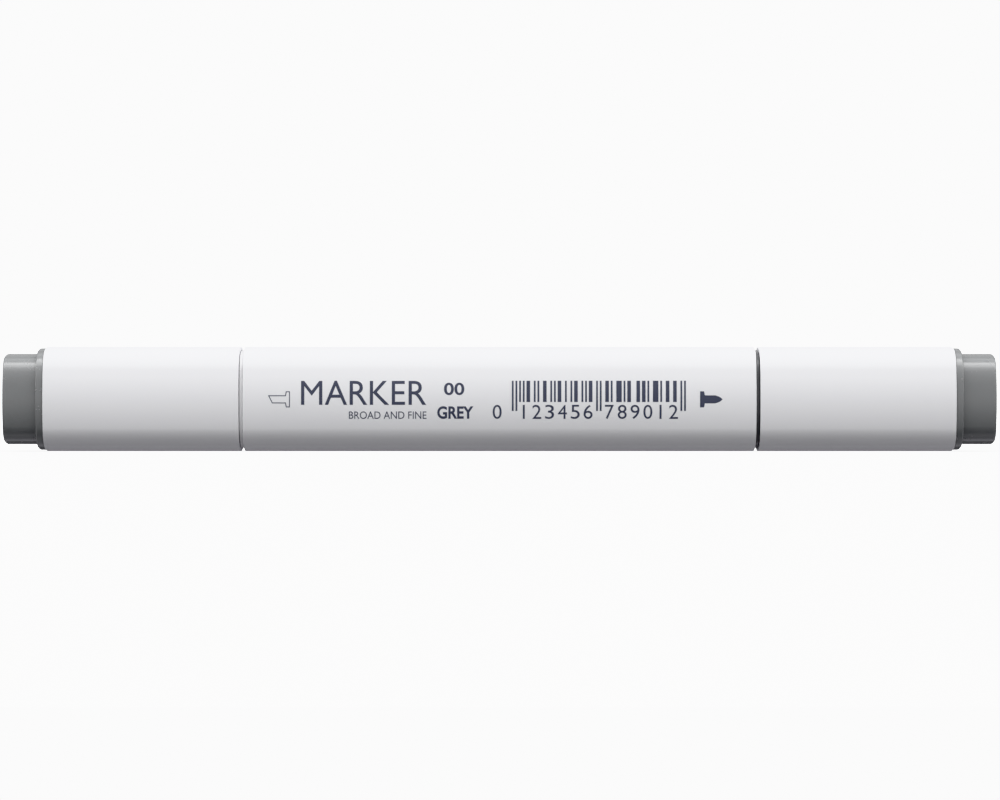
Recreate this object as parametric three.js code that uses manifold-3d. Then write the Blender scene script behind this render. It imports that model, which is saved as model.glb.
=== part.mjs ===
// Square twin-tip felt marker: a printed barrel with a chisel nib under one cap and a
// fine nib under the other. Millimetres, +Z up. The marker lies on a flat face with its
// length along X: broad end towards -X, fine end towards +X, printed face towards -Y.
//
// Each end is built once along +X, with distances measured from the marker's middle, and
// the broad end is then turned half round. An "inset" is how far a rounded-square section
// lies inside the marker's outer section, measured square to its wall everywhere.

import * as THREE from 'three';
import { mergeVertices } from 'three/addons/utils/BufferGeometryUtils.js';
import Module from 'manifold-3d';

const wasm = await Module();
wasm.setup();

// Outer section: a square with crowned faces, a narrow flat along each face and round corners
const HALF_WIDTH = 7.9;
const FLAT_HALF = 1.5;
const CROWN_RADIUS = 11.6;
const CORNER_RADIUS = 4.0;
const CROWN_STEPS = 2;
const CORNER_STEPS = 7;
const ROUND_STEPS = 32;

// Stations along one half of the marker
const BARREL_END = 38.4;
const COLLAR_END = 38.8;
const SHELL_MOUTH = 39.0;
const SHELL_END = 68.3;
const FLANGE_END = 69.4;
const PLUG_END = 74.5;

// Gaps between pieces that sit in or against each other
const FACE_GAP = 0.05;
const SIDE_GAP = 0.1;

// Barrel
const BARREL_WALL = 1.3;
const EDGE_ROUND = 0.2;
const RIB_WIDTH = 0.8;
const RIB_END = 31.5;

// Ink reservoir: a fibre rod in a film sleeve
const CORE_RADIUS = 4.8;
const CORE_END = 40.0;
const FILM_INNER_RADIUS = 4.85;
const FILM_RADIUS = 5.0;
const FILM_END = 39.8;

// Nose mouldings
const SPIGOT_START = 32.4;
const COLLAR_INSET = 0.5;
const BOSS_INSET = 1.1;
const BOSS_END = 44.4;
const BORE_RADIUS = 5.45;
const BORE_END = 42.0;
const NECK_RADIUS = 5.2;
const NECK_END = 50.5;
const BEAD_RISE = 0.15;
const BEAD_HALF = 0.7;
const BEAD_STATION = 48.3;
const CHAMBER_RADIUS = 4.0;
const CHAMBER_END = 49.0;
const BROAD_NOSE = { tip: 55.5, tipRadius: 4.4 };
const FINE_NOSE = { tip: 56.5, tipRadius: 2.3 };

// Nibs, which reach into pockets in the ends of the fibre rod
const NIB_TAIL = 36.0;
const CHISEL = { height: 6.0, thickness: 3.8, tip: 62.3, slant: 3.0, edgeThickness: 1.5, taper: 4.5, round: 0.45 };
const FINE = { radius: 1.3, shoulder: 57.6, tip: 62.0, tipRadius: 0.35, tailChamfer: 0.4 };

// Cap shells
const MOUTH_INSET = 1.0;
const MOUTH_END = 44.6;
const CAVITY_INSET = 1.6;
const REAR_INSET = 1.1;
const REAR_START = 63.3;

// Cap liners: a round sealing cup with a square locating flange
const LINER = { mouth: 45.4, outer: 5.95, inner: 5.45, lead: 0.4, flangeEnd: 64.4, flangeInset: 1.25 };
const LINER_END = { outer: 5.45, inner: 4.5, taperStart: 62.4, taperEnd: 63.6, floor: 67.3, end: 68.1 };

// Cap end plugs
const FLANGE_INSET = 0.24;
const FLANGE_ROUND = 0.2;
const POST_INSET = 1.1;
const POST_ROUND = 0.3;
const SKIRT_INSET = 1.25;
const SKIRT_START = 64.55;
const PLUG_BORE_RADIUS = 5.6;
const PLUG_BORE_END = 73.2;

// How far a cutter or a joined piece runs past the face that it meets
const PAST = 0.2;

// ---- Section geometry -------------------------------------------------------------

// Centre of the corner arc, the same distance along both axes, found from the crown arc
// that it continues without a kink.
const crownCentre = HALF_WIDTH - CROWN_RADIUS;
const centreSum = FLAT_HALF + crownCentre;
const centreSquares = FLAT_HALF ** 2 + crownCentre ** 2;
const arcsApart = CROWN_RADIUS - CORNER_RADIUS;
const cornerCentre = (centreSum + Math.sqrt(centreSum ** 2 - 2 * (centreSquares - arcsApart ** 2))) / 2;
const crownTurn = Math.atan2(cornerCentre - FLAT_HALF, cornerCentre - crownCentre);

function arcPoints(x, y, radius, from, to, steps) {
  return new THREE.EllipseCurve(x, y, radius, radius, from, to, false).getPoints(steps);
}

// Points of the section at one inset, counter-clockwise
function outline(inset) {
  const crown = CROWN_RADIUS - inset;
  const corner = CORNER_RADIUS - inset;
  const right = Math.PI / 2;
  const quarter = [
    ...arcPoints(crownCentre, FLAT_HALF, crown, 0, crownTurn, CROWN_STEPS).slice(0, -1),
    ...arcPoints(cornerCentre, cornerCentre, corner, crownTurn, right - crownTurn, CORNER_STEPS),
    ...arcPoints(FLAT_HALF, crownCentre, crown, right - crownTurn, right, CROWN_STEPS).slice(1),
  ];
  const origin = new THREE.Vector2();
  const points = [];
  for (let turn = 0; turn < 4; turn += 1) {
    quarter.forEach((point) => points.push(point.clone().rotateAround(origin, turn * right)));
  }
  return points;
}

// ---- Solids -----------------------------------------------------------------------

function toSolid(geometry) {
  geometry.deleteAttribute('normal');
  geometry.deleteAttribute('uv');
  const merged = mergeVertices(geometry, 1e-5);
  return new wasm.Manifold(new wasm.Mesh({
    numProp: 3,
    vertProperties: Float32Array.from(merged.attributes.position.array),
    triVerts: Uint32Array.from(merged.index.array),
  }));
}

function toGeometry(solid) {
  const mesh = solid.getMesh();
  const geometry = new THREE.BufferGeometry();
  geometry.setAttribute('position', new THREE.BufferAttribute(mesh.vertProperties, 3));
  geometry.setIndex(new THREE.BufferAttribute(mesh.triVerts, 1));
  geometry.computeVertexNormals();
  return geometry;
}

// Rounded-square bar from one station to another. A rounding softens both ends.
function bar(inset, from, to, rounding = 0) {
  const geometry = new THREE.ExtrudeGeometry(new THREE.Shape(outline(inset)), {
    depth: to - from - 2 * rounding,
    bevelEnabled: rounding > 0,
    bevelThickness: rounding,
    bevelSize: rounding,
    bevelOffset: -rounding,
    bevelSegments: 3,
  });
  geometry.translate(0, 0, from + rounding);
  geometry.rotateY(Math.PI / 2);
  return toSolid(geometry);
}

// Bar that is rounded only at its far end
function roundedEndBar(inset, from, to, rounding) {
  const start = from - 2 * rounding;
  return bar(inset, start, to, rounding).subtract(bar(0, start - PAST, from));
}

// Round piece from [radius, station] pairs that start and end on the axis
function turned(pairs) {
  const profile = pairs.map(([radius, station]) => new THREE.Vector2(radius, station));
  const geometry = new THREE.LatheGeometry(profile, ROUND_STEPS);
  geometry.rotateZ(-Math.PI / 2);
  return toSolid(geometry);
}

function rod(radius, from, to) {
  return turned([[0, from], [radius, from], [radius, to], [0, to]]);
}

function block(length, depth, height, x, y, z) {
  const geometry = new THREE.BoxGeometry(length, depth, height);
  geometry.translate(x, y, z);
  return toSolid(geometry);
}

// ---- Barrel and reservoir ---------------------------------------------------------

// Square tube with four ribs inside that hold the reservoir on the axis
function barrelSolid() {
  const tube = bar(0, -BARREL_END, BARREL_END, EDGE_ROUND)
    .subtract(bar(BARREL_WALL, -BARREL_END - PAST, BARREL_END + PAST));
  const ribInner = FILM_RADIUS + SIDE_GAP;
  const ribOuter = HALF_WIDTH - BARREL_WALL + PAST;
  const ribHeight = ribOuter - ribInner;
  const ribMiddle = (ribOuter + ribInner) / 2;
  let solid = tube;
  [-1, 1].forEach((side) => {
    solid = solid.add(block(2 * RIB_END, RIB_WIDTH, ribHeight, 0, 0, side * ribMiddle));
    solid = solid.add(block(2 * RIB_END, ribHeight, RIB_WIDTH, 0, side * ribMiddle, 0));
  });
  return solid;
}

// Fibre rod with a pocket at each end for the tail of that end's nib
function reservoirCoreSolid() {
  const depth = CORE_END - NIB_TAIL + PAST;
  const middle = NIB_TAIL - SIDE_GAP + (depth + SIDE_GAP) / 2;
  const slotDepth = CHISEL.thickness + 2 * SIDE_GAP;
  const slotHeight = CHISEL.height + 2 * SIDE_GAP;
  return rod(CORE_RADIUS, -CORE_END, CORE_END)
    .subtract(block(depth + SIDE_GAP, slotDepth, slotHeight, -middle, 0, 0))
    .subtract(rod(FINE.radius + SIDE_GAP, NIB_TAIL - SIDE_GAP, CORE_END + PAST));
}

function reservoirFilmSolid() {
  return rod(FILM_RADIUS, -FILM_END, FILM_END)
    .subtract(rod(FILM_INNER_RADIUS, -FILM_END - PAST, FILM_END + PAST));
}

// ---- Noses ------------------------------------------------------------------------

// Spigot in the barrel, collar between barrel and cap, square boss that the cap's mouth
// slides over, round sealing neck with its bead, and a cone to the nib. The socket is the
// hole that grips the nib.
function noseSolid(nose, socket) {
  const collarStart = BARREL_END + FACE_GAP;
  const spigot = bar(BARREL_WALL + SIDE_GAP, SPIGOT_START, collarStart + PAST);
  const collar = bar(COLLAR_INSET, collarStart, COLLAR_END);
  const boss = bar(BOSS_INSET, COLLAR_END - PAST, BOSS_END);
  const neck = turned([
    [0, BOSS_END - PAST],
    [NECK_RADIUS, BOSS_END - PAST],
    [NECK_RADIUS, BEAD_STATION - BEAD_HALF],
    [NECK_RADIUS + BEAD_RISE, BEAD_STATION - BEAD_HALF / 2],
    [NECK_RADIUS + BEAD_RISE, BEAD_STATION + BEAD_HALF / 2],
    [NECK_RADIUS, BEAD_STATION + BEAD_HALF],
    [NECK_RADIUS, NECK_END],
    [nose.tipRadius, nose.tip],
    [0, nose.tip],
  ]);
  return spigot.add(collar).add(boss).add(neck)
    .subtract(rod(BORE_RADIUS, SPIGOT_START - PAST, BORE_END))
    .subtract(rod(CHAMBER_RADIUS, BORE_END - PAST, CHAMBER_END))
    .subtract(socket);
}

function broadNoseSolid() {
  const length = BROAD_NOSE.tip - CHAMBER_END + 2 * PAST;
  const middle = (BROAD_NOSE.tip + CHAMBER_END) / 2;
  const depth = CHISEL.thickness + 2 * SIDE_GAP;
  const height = CHISEL.height + 2 * SIDE_GAP;
  return noseSolid(BROAD_NOSE, block(length, depth, height, middle, 0, 0));
}

function fineNoseSolid() {
  const socket = rod(FINE.radius + SIDE_GAP, CHAMBER_END - PAST, FINE_NOSE.tip + PAST);
  return noseSolid(FINE_NOSE, socket);
}

// ---- Nibs -------------------------------------------------------------------------

// Felt bar with a slanted end, longer at the top, thinned from both sides to a chisel edge
function chiselNibSolid() {
  const half = CHISEL.height / 2;
  const side = new THREE.Shape([
    new THREE.Vector2(NIB_TAIL, -half),
    new THREE.Vector2(CHISEL.tip - CHISEL.slant, -half),
    new THREE.Vector2(CHISEL.tip, half),
    new THREE.Vector2(NIB_TAIL, half),
  ]);
  const geometry = new THREE.ExtrudeGeometry(side, {
    depth: CHISEL.thickness - 2 * CHISEL.round,
    bevelEnabled: true,
    bevelThickness: CHISEL.round,
    bevelSize: CHISEL.round,
    bevelOffset: -CHISEL.round,
    bevelSegments: 3,
  });
  geometry.translate(0, 0, CHISEL.round - CHISEL.thickness / 2);
  geometry.rotateX(Math.PI / 2);

  // Triangular cutters, slanted like the tip, leave the chisel edge between them
  const edgeSlope = Math.atan2(CHISEL.slant, CHISEL.height);
  const thick = CHISEL.thickness / 2;
  const edge = CHISEL.edgeThickness / 2;
  const wedge = new THREE.Shape([
    new THREE.Vector2(-CHISEL.taper, thick),
    new THREE.Vector2(0, edge),
    new THREE.Vector2(CHISEL.taper, edge),
    new THREE.Vector2(CHISEL.taper, thick + PAST),
    new THREE.Vector2(-CHISEL.taper, thick + PAST),
  ]);
  let solid = toSolid(geometry);
  [1, -1].forEach((face) => {
    const cutter = new THREE.ExtrudeGeometry(wedge, { depth: 3 * CHISEL.height, bevelEnabled: false });
    cutter.translate(0, 0, -1.5 * CHISEL.height);
    if (face < 0) {
      cutter.rotateX(Math.PI);
    }
    cutter.rotateY(edgeSlope);
    cutter.translate(CHISEL.tip - CHISEL.slant / 2, 0, 0);
    solid = solid.subtract(toSolid(cutter));
  });
  return solid;
}

// Round felt rod with a bullet point
function fineNibSolid() {
  const start = new THREE.Vector2(FINE.radius, FINE.shoulder);
  const bend = new THREE.Vector2(FINE.radius, (FINE.shoulder + FINE.tip) / 2);
  const point = new THREE.Vector2(FINE.tipRadius, FINE.tip - FINE.tipRadius / 2);
  const bullet = new THREE.QuadraticBezierCurve(start, bend, point).getPoints(6);
  return turned([
    [0, NIB_TAIL],
    [FINE.radius - FINE.tailChamfer, NIB_TAIL],
    [FINE.radius, NIB_TAIL + FINE.tailChamfer],
    ...bullet.map((onCurve) => [onCurve.x, onCurve.y]),
    [0, FINE.tip],
  ]);
}

// ---- Caps -------------------------------------------------------------------------

// Square tube, wider inside at the mouth so that it fits the boss and the other cap's
// plug, and wider again at the back for the liner's flange and the plug's skirt
function capShellSolid() {
  return bar(0, SHELL_MOUTH, SHELL_END, EDGE_ROUND)
    .subtract(bar(MOUTH_INSET, SHELL_MOUTH - PAST, MOUTH_END))
    .subtract(bar(CAVITY_INSET, MOUTH_END - PAST, REAR_START + PAST))
    .subtract(bar(REAR_INSET, REAR_START, SHELL_END + PAST));
}

// Cup that seals round the nose's bead, with a narrower closed end inside the plug
function capLinerSolid() {
  const flangeStart = REAR_START + SIDE_GAP;
  const cup = turned([
    [0, LINER.mouth],
    [LINER.outer - LINER.lead / 2, LINER.mouth],
    [LINER.outer, LINER.mouth + LINER.lead],
    [LINER.outer, flangeStart + PAST],
    [LINER_END.outer, flangeStart + PAST],
    [LINER_END.outer, LINER_END.end],
    [0, LINER_END.end],
  ]);
  const flange = bar(LINER.flangeInset, flangeStart, LINER.flangeEnd);
  const hollow = turned([
    [0, LINER.mouth - PAST],
    [LINER.inner, LINER.mouth - PAST],
    [LINER.inner, LINER_END.taperStart],
    [LINER_END.inner, LINER_END.taperEnd],
    [LINER_END.inner, LINER_END.floor],
    [0, LINER_END.floor],
  ]);
  return cup.add(flange).subtract(hollow);
}

// Coloured end piece: skirt inside the shell, flange against its end, and a stepped post
// that the other cap's mouth fits over
function capPlugSolid() {
  const flangeStart = SHELL_END + FACE_GAP;
  const skirt = bar(SKIRT_INSET, SKIRT_START, flangeStart + PAST);
  const flange = roundedEndBar(FLANGE_INSET, flangeStart, FLANGE_END, FLANGE_ROUND);
  const post = roundedEndBar(POST_INSET, FLANGE_END - PAST, PLUG_END, POST_ROUND);
  return skirt.add(flange).add(post)
    .subtract(rod(PLUG_BORE_RADIUS, SKIRT_START - PAST, PLUG_BORE_END));
}

// ---- Materials --------------------------------------------------------------------

function finish(color, roughness) {
  return new THREE.MeshStandardMaterial({ color, roughness, metalness: 0 });
}

function piece(name, solid, color, roughness) {
  const mesh = new THREE.Mesh(toGeometry(solid), finish(color, roughness));
  mesh.name = name;
  return mesh;
}

const WHITE_PLASTIC = 0xf3f3f4;
const GREY_PLASTIC = 0x7c7e80;
const DARK_PLASTIC = 0x636366;
const PALE_PLASTIC = 0xeaeaeb;
const MILKY_PLASTIC = 0xe9e8e2;
const STAINED_FELT = 0x6c6e72;
const FIBRE = 0x85878b;
const FILM = 0xcfd3d8;

// ---- Assembly ---------------------------------------------------------------------

const marker = new THREE.Group();
marker.position.z = HALF_WIDTH;

const middle = new THREE.Group();
middle.add(piece('barrel', barrelSolid(), WHITE_PLASTIC, 0.35));
middle.add(piece('reservoir_core', reservoirCoreSolid(), FIBRE, 0.95));
middle.add(piece('reservoir_film', reservoirFilmSolid(), FILM, 0.3));
marker.add(middle);

function markerEnd(name, nose, nib) {
  const end = new THREE.Group();
  end.add(nose);
  end.add(nib);
  end.add(piece(`${name}_cap_shell`, capShellSolid(), WHITE_PLASTIC, 0.35));
  end.add(piece(`${name}_cap_liner`, capLinerSolid(), MILKY_PLASTIC, 0.45));
  end.add(piece(`${name}_cap_plug`, capPlugSolid(), GREY_PLASTIC, 0.4));
  marker.add(end);
  return end;
}

markerEnd(
  'fine',
  piece('fine_nose', fineNoseSolid(), DARK_PLASTIC, 0.25),
  piece('fine_nib', fineNibSolid(), STAINED_FELT, 0.9),
);

const broadEnd = markerEnd(
  'broad',
  piece('broad_nose', broadNoseSolid(), PALE_PLASTIC, 0.35),
  piece('chisel_nib', chiselNibSolid(), STAINED_FELT, 0.9),
);
broadEnd.rotation.z = Math.PI;

export default marker;
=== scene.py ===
import math

import bmesh
import bpy
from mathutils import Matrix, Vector


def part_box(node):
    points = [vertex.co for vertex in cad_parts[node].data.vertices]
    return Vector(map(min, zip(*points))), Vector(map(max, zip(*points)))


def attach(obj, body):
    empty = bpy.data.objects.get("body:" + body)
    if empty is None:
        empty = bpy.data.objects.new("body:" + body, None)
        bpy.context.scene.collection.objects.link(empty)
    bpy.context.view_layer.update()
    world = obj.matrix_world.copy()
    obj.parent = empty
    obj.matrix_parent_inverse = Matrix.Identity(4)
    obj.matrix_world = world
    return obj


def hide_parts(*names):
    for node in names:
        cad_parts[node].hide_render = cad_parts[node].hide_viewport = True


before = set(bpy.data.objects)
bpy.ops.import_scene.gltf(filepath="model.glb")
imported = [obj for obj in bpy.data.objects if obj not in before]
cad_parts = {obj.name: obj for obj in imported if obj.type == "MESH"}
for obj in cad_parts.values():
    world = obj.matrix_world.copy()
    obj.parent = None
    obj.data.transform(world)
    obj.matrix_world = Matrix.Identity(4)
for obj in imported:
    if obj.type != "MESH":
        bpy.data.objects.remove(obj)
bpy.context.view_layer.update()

# A square twin-tip marker lying along X, fine end towards +X, printed face towards -Y.
# Each end is modelled once towards +X, and the broad end is a copy turned half round.
MM = 0.001
LEFT, RIGHT = -1, 1

# Stations and sizes that the frame gives
AXIS_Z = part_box("barrel")[1].z / 2
HALF_WIDTH = AXIS_Z
BARREL_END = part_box("barrel")[1].x
SHELL_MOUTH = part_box("fine_cap_shell")[0].x
SHELL_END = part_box("fine_cap_shell")[1].x
SPIGOT_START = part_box("fine_nose")[0].x
LINER_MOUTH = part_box("fine_cap_liner")[0].x
LINER_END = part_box("fine_cap_liner")[1].x
SKIRT_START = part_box("fine_cap_plug")[0].x
PLUG_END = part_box("fine_cap_plug")[1].x
NIB_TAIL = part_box("fine_nib")[0].x
CORE_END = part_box("reservoir_core")[1].x
FILM_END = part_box("reservoir_film")[1].x

# Section: faces crowned on a large radius, corners on a small one, tangent to each other
CROWN_RADIUS = 21 * MM
CORNER_RADIUS = 4 * MM
CROWN_STEPS = 8
CORNER_STEPS = 22
ROUND_STEPS = 96

# The ink stands this far off the plastic, and the plastic stays that far inside the frame
INK_FILM = 0.012 * MM

# Points nearer than this are one, and edges sharper than this, in degrees, stay sharp
MERGE = 0.001 * MM
SHARP = 32


def solve_section():
    """Centre of the corner arc, the same along both axes, and the angle a crown turns through."""
    crown_centre = HALF_WIDTH - CROWN_RADIUS
    apart = CROWN_RADIUS - CORNER_RADIUS
    corner_centre = (crown_centre + math.sqrt(2 * apart ** 2 - crown_centre ** 2)) / 2
    return crown_centre, corner_centre, math.atan2(corner_centre, corner_centre - crown_centre)


CROWN_CENTRE, CORNER_CENTRE, CROWN_TURN = solve_section()


def inset_at(point):
    """How far a point lies inside the marker's outer section, square to its wall."""
    across, out = sorted((abs(point.y), abs(point.z - AXIS_Z)))
    if math.atan2(across, out - CROWN_CENTRE) <= CROWN_TURN:
        return CROWN_RADIUS - math.hypot(across, out - CROWN_CENTRE)
    return CORNER_RADIUS - math.hypot(across - CORNER_CENTRE, out - CORNER_CENTRE)


def radius_at(point):
    return math.hypot(point.y, point.z - AXIS_Z)


def near(a, b, within=0.004 * MM):
    return abs(a - b) < within


# ---- Modelling moves ------------------------------------------------------------------

def deselect():
    if bpy.context.object and bpy.context.object.mode == "EDIT":
        bpy.ops.object.mode_set(mode="OBJECT")
    bpy.ops.object.select_all(action="DESELECT")


def make_active(piece):
    deselect()
    bpy.context.view_layer.objects.active = piece
    piece.select_set(True)


def name_piece(name):
    piece = bpy.context.object
    piece.name = name
    piece.data.name = name
    return piece


def start_square(name, inset, x):
    """New piece, open in edit mode, holding one face: the section at that inset and station."""
    deselect()
    bpy.ops.mesh.primitive_plane_add(size=MM)
    piece = name_piece(name)
    bpy.ops.object.mode_set(mode="EDIT")
    bpy.ops.mesh.select_mode(type="VERT")
    bpy.ops.mesh.select_all(action="SELECT")
    bpy.ops.mesh.merge(type="CENTER")
    bpy.ops.transform.translate(value=(x, 0, AXIS_Z + HALF_WIDTH - inset))
    centres = [
        (0, CROWN_CENTRE, CROWN_TURN, CROWN_STEPS),
        (CORNER_CENTRE, CORNER_CENTRE, math.pi / 2 - 2 * CROWN_TURN, CORNER_STEPS),
        (CROWN_CENTRE, 0, CROWN_TURN, CROWN_STEPS),
    ]
    for _ in range(4):
        for y, z, angle, steps in centres:
            centre = (x, y, AXIS_Z + z)
            bpy.ops.mesh.spin(steps=steps, angle=angle, center=centre, axis=(1, 0, 0))
        centres = [(z, -y, angle, steps) for y, z, angle, steps in centres]
    merge_points()
    bpy.ops.mesh.edge_face_add()
    bpy.ops.mesh.select_mode(type="FACE")
    return piece


def start_round(name, radius, x):
    """New piece, open in edit mode, holding one disc square to the marker's axis."""
    deselect()
    bpy.ops.mesh.primitive_circle_add(vertices=ROUND_STEPS, radius=radius, fill_type="NGON",
                                      location=(x, 0, AXIS_Z), rotation=(0, math.pi / 2, 0))
    piece = name_piece(name)
    bpy.ops.object.transform_apply()
    bpy.ops.object.mode_set(mode="EDIT")
    bpy.ops.mesh.select_mode(type="FACE")
    bpy.ops.mesh.select_all(action="SELECT")
    return piece


def extrude(*lengths):
    """Pulls the selected face along X, once for each length."""
    for length in lengths:
        bpy.ops.mesh.extrude_region_move(TRANSFORM_OT_translate={"value": (length, 0, 0)})


def extrude_to(piece, *stations):
    """Pulls the selected face along X to each station in turn."""
    for station in stations:
        extrude(station - selected_points(piece)[0].x)


def inset(width):
    bpy.ops.mesh.inset(thickness=width, use_even_offset=True)


def inset_and_lift(width, lift):
    """One step of a domed end: a smaller face, moved along X."""
    inset(width)
    bpy.ops.transform.translate(value=(lift, 0, 0))


def merge_points(within=MERGE):
    bpy.ops.mesh.select_all(action="SELECT")
    bpy.ops.mesh.remove_doubles(threshold=within)


def selected_points(piece):
    return [v.co for v in bmesh.from_edit_mesh(piece.data).verts if v.select]


SQUARE_TO_ROUND = 0.2 * MM
ROUND_TO_ROUND = 0.05 * MM


def resize_round(piece, radius):
    """Scales the selected ring about the axis until it has that radius."""
    points = selected_points(piece)
    scale = radius / radius_at(points[0])
    bpy.ops.transform.resize(value=(1, scale, scale), center_override=(points[0].x, 0, AXIS_Z))


def round_to(piece, radius):
    """Insets the selected square face and makes its new outline a circle about the axis."""
    inset(SQUARE_TO_ROUND)
    bpy.ops.transform.tosphere(value=1)
    resize_round(piece, radius)


def step_round(piece, radius):
    """Steps a round face to another radius in its own plane."""
    inset(ROUND_TO_ROUND)
    resize_round(piece, radius)


def select(piece, kind, test):
    """Selects what lies in the right place: faces by middle and normal, edges by their ends."""
    bpy.ops.mesh.select_all(action="DESELECT")
    bpy.ops.mesh.select_mode(type=kind)
    mesh = bmesh.from_edit_mesh(piece.data)
    if kind == "FACE":
        for face in mesh.faces:
            face.select = test(face.calc_center_median(), face.normal)
    elif kind == "EDGE":
        for edge in mesh.edges:
            edge.select = all(test(v.co) for v in edge.verts)
    else:
        for vert in mesh.verts:
            vert.select = test(vert.co)
    mesh.select_flush_mode()
    bmesh.update_edit_mesh(piece.data)


def select_end(piece, x):
    """Selects the whole face that closes the piece at that station."""
    select(piece, "FACE", lambda middle, normal: near(middle.x, x) and near(radius_at(middle), 0))


def soften(piece, x, width, segments=5, **where):
    """Rounds one rim, given by its station and either its inset or its radius."""
    def on_rim(point):
        if "inset" in where:
            return near(point.x, x) and near(inset_at(point), where["inset"])
        return near(point.x, x) and near(radius_at(point), where["radius"])

    select(piece, "EDGE", on_rim)
    bpy.ops.mesh.bevel(offset=width, segments=segments, clamp_overlap=False)


def join_through(piece, x):
    """Opens a hollow where two pockets meet at that station."""
    select_end(piece, x)
    bpy.ops.mesh.delete(type="FACE")
    merge_points(3 * MERGE)


def bridge_through(piece, *stations):
    """Joins two bores, point for point, across the gap left between their ends."""
    select(piece, "FACE", lambda middle, normal: near(radius_at(middle), 0)
           and any(near(middle.x, x) for x in stations))
    bpy.ops.mesh.bridge_edge_loops()


def close_piece(piece):
    """Leaves edit mode with clean outward normals and smooth shading."""
    merge_points(MERGE / 2)
    bpy.ops.mesh.normals_make_consistent(inside=False)
    bpy.ops.object.mode_set(mode="OBJECT")
    bpy.ops.object.shade_smooth_by_angle(angle=math.radians(SHARP))
    return piece


def cut(piece, cutter):
    """Cuts one piece's shape out of another and throws the cutter away."""
    make_active(piece)
    boolean = piece.modifiers.new("cut", "BOOLEAN")
    boolean.object = cutter
    boolean.operation = "DIFFERENCE"
    boolean.solver = "EXACT"
    bpy.ops.object.modifier_apply(modifier=boolean.name)
    bpy.data.objects.remove(cutter)
    bpy.ops.object.shade_smooth_by_angle(angle=math.radians(SHARP))


def turn_half_round(piece):
    """Swings a piece made towards +X over to the broad end."""
    make_active(piece)
    bpy.ops.transform.rotate(value=math.pi, orient_axis="Z", center_override=(0, 0, 0))
    bpy.ops.object.transform_apply()
    return piece


def turned_copy(piece, name):
    """Copy with its own mesh, at the broad end."""
    make_active(piece)
    bpy.ops.object.duplicate()
    return turn_half_round(name_piece(name))


# ---- Barrel and reservoir -------------------------------------------------------------

WALL = 1.3 * MM
EDGE_ROUND = 0.1 * MM
SUPPORT = 0.7 * MM
RIB_END = 31.5 * MM
RIB_HALF_WIDTH = 0.4 * MM
RIB_RISE = 1.5 * MM
RIB_REACH = 1.5 * MM


def grow_rib(piece, direction):
    """Raises one rib from the wall inside, towards the axis."""
    across = Vector((0, direction.z, direction.y))
    middle = Vector((0, 0, AXIS_Z))

    def on_wall(point, normal):
        offset = point - middle
        on_this_side = offset.dot(direction) > 0 and abs(offset.dot(across)) < RIB_REACH
        faces_axis = near(inset_at(point), WALL + INK_FILM, EDGE_ROUND / 2) and normal.x ** 2 < 0.1
        return on_this_side and faces_axis

    def on_foot(point, normal):
        along_rib = abs((point - middle).dot(across)) < RIB_HALF_WIDTH and abs(point.x) < RIB_END
        return along_rib and on_wall(point, normal)

    for side in (LEFT, RIGHT):
        select(piece, "FACE", on_wall)
        bpy.ops.mesh.bisect(plane_co=middle + across * side * RIB_HALF_WIDTH, plane_no=across)
    select(piece, "FACE", on_foot)
    bpy.ops.mesh.extrude_region_move(TRANSFORM_OT_translate={"value": -direction * RIB_RISE})


def make_barrel():
    piece = start_square("barrel_tube", INK_FILM, -BARREL_END)
    extrude_to(piece, SUPPORT - BARREL_END, BARREL_END - SUPPORT, BARREL_END)
    for side in (LEFT, RIGHT):
        select_end(piece, side * BARREL_END)
        inset(WALL)
        extrude_to(piece, side * RIB_END, 0)
    join_through(piece, 0)
    for side in (RIGHT, LEFT):
        grow_rib(piece, Vector((0, 0, side)))
    for side in (RIGHT, LEFT):
        grow_rib(piece, Vector((0, side, 0)))
    for side in (LEFT, RIGHT):
        soften(piece, side * BARREL_END, EDGE_ROUND, inset=INK_FILM)
        soften(piece, side * BARREL_END, EDGE_ROUND / 2, 2, inset=INK_FILM + WALL)
    return close_piece(piece)


CORE_RADIUS = 4.8 * MM
FILM_RADIUS = 5.0 * MM
FILM_WALL = 0.14 * MM
FIT = 0.1 * MM
CHISEL_HEIGHT = 6.0 * MM
CHISEL_DEPTH = 3.8 * MM
FINE_RADIUS = 1.3 * MM
POCKET_ROUND = 0.4 * MM
CORE_ROUND = 0.15 * MM


def nib_pocket(name, x_from, x_to):
    """Rounded block that cuts the chisel nib's pocket or socket."""
    deselect()
    bpy.ops.mesh.primitive_cube_add(size=1, location=((x_from + x_to) / 2, 0, AXIS_Z))
    cutter = name_piece(name)
    cutter.scale = (abs(x_to - x_from), CHISEL_DEPTH + 2 * FIT, CHISEL_HEIGHT + 2 * FIT)
    bpy.ops.object.transform_apply()
    bpy.ops.object.mode_set(mode="EDIT")
    bpy.ops.mesh.select_mode(type="EDGE")
    mesh = bmesh.from_edit_mesh(cutter.data)
    for edge in mesh.edges:
        start, end = (vert.co for vert in edge.verts)
        edge.select = near(start.y, end.y) and near(start.z, end.z)
    mesh.select_flush_mode()
    bmesh.update_edit_mesh(cutter.data)
    bpy.ops.mesh.bevel(offset=POCKET_ROUND, segments=4)
    return close_piece(cutter)


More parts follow.
